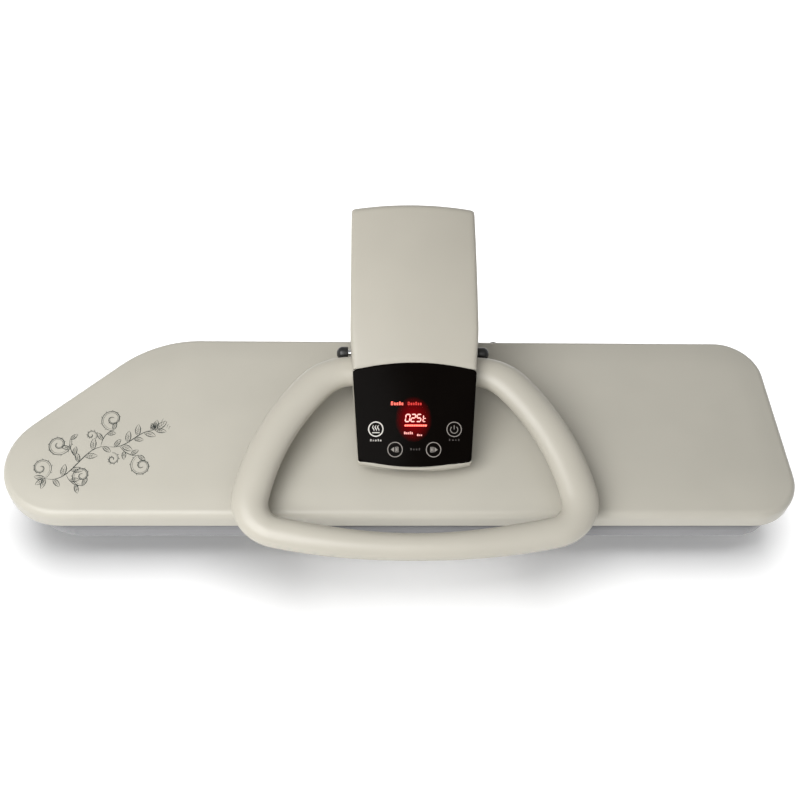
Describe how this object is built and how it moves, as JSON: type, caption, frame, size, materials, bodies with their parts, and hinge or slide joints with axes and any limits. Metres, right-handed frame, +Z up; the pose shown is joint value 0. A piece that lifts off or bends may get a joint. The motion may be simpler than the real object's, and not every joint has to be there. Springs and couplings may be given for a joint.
{
  "type": "steam ironing press",
  "caption": "Tabletop steam press: padded ironing board on a low base, heated head of the same outline on a lifting arm with control panel and loop handle.",
  "frame": {"origin": "centre of the closed press's bounding box in X and Y, on the surface it stands on", "axes": "+X along the plates towards the square end, -Y towards the user and the handle, +Z up"},
  "size_m": [1.0136, 0.4567, 0.2858],
  "materials": {
    "shell_plastic": "satin warm white moulding",
    "grip_plastic": "smooth moulding",
    "base_plastic": "fine grain moulding",
    "panel_glass": "glossy black acrylic",
    "black_plastic": "satin",
    "display_red": "dark red display window",
    "rubber": "matt",
    "steel": "zinc plated",
    "bright_steel": "polished",
    "spring_steel": "oiled",
    "plate_aluminium": "fine brushed sole plate",
    "cast_aluminium": "cast",
    "brass": "turned",
    "ceramic_white": "matt",
    "circuit_green": "lacquered board",
    "silicone": "translucent white",
    "tank_plastic": "translucent blue grey",
    "cover_cloth": "metallised grey cotton",
    "pad_foam": "felt and foam"
  },
  "bodies": {
    "base": {"rubber_feet": "rubber", "base_tray": "base_plastic", "base_cover": "base_plastic", "base_screws": "steel", "base_frame": "steel", "board_pillars": "steel", "board_rails": "steel", "board_pan": "steel", "board_pad": "pad_foam", "board_cover": "cover_cloth", "hinge_bracket": "steel", "hinge_pins": "bright_steel", "hinge_clips": "spring_steel", "hinge_cowl": "base_plastic", "lift_springs": "spring_steel", "cord_gland": "black_plastic", "rod_base_pin": "bright_steel"},
    "arm": {"casing_top": "shell_plastic", "casing_base": "base_plastic", "casing_screws": "steel", "lever_left": "steel", "lever_right": "steel", "lever_bushes": "brass", "lever_tie": "steel", "cross_shaft": "bright_steel", "shaft_knobs": "black_plastic", "shaft_washers": "bright_steel", "handle_core": "steel", "handle_upper": "grip_plastic", "handle_lower": "grip_plastic", "panel_glass": "panel_glass", "panel_carrier": "black_plastic", "display_module": "display_red", "touch_pads": "brass", "control_board": "circuit_green", "power_board": "circuit_green", "pump": "ceramic_white", "feed_hose": "silicone", "tank_shelf": "base_plastic", "valve_socket": "black_plastic"},
    "head": {"heating_plate": "plate_aluminium", "heating_element": "steel", "steam_chamber": "cast_aluminium", "steam_elbow": "brass", "thermostat": "black_plastic", "thermal_fuse": "ceramic_white", "heat_shield": "cast_aluminium", "upper_shell": "shell_plastic", "head_screws": "steel", "tilt_yoke": "steel", "yoke_screws": "steel", "yoke_pin": "bright_steel"},
    "rod": {"levelling_rod": "steel"},
    "tank": {"water_tank": "tank_plastic", "tank_lid": "tank_plastic", "tank_valve": "black_plastic", "flap_pin": "bright_steel"},
    "flap": {"filler_flap": "base_plastic"},
    "lock": {"lock_bolt": "steel", "lock_knob": "black_plastic"}
  },
  "joints": [
    {"name": "arm_lift", "type": "hinge", "parent": "base", "child": "arm", "pos_m": [0.014, 0.1825, 0.092], "axis": [-1, 0, 0], "range_deg": [0, 50], "deforming": ["lift_springs"]},
    {"name": "plate_tilt", "type": "hinge", "parent": "arm", "child": "head", "pos_m": [0.014, 0.0495, 0.172], "axis": [1, 0, 0], "range_deg": [0, 9], "deforming": ["feed_hose"]},
    {"name": "rod_swing", "type": "hinge", "parent": "base", "child": "rod", "pos_m": [0.014, 0.1825, 0.1], "axis": [-1, 0, 0], "range_deg": [0, 52]},
    {"name": "tank_slide", "type": "slide", "parent": "arm", "child": "tank", "axis": [0, 1, 0], "range_m": [0, 0.125]},
    {"name": "flap_hinge", "type": "hinge", "parent": "tank", "child": "flap", "pos_m": [0.014, 0.2167, 0.2075], "axis": [-1, 0, 0], "range_deg": [0, 95]},
    {"name": "lock_slide", "type": "slide", "parent": "base", "child": "lock", "axis": [-1, 0, 0], "range_m": [0, 0.009]}
  ],
  "couplings": [
    {"joint": "plate_tilt", "follows": "arm_lift", "ratio": 0.165},
    {"joint": "rod_swing", "follows": "arm_lift", "ratio": 1.018}
  ]
}
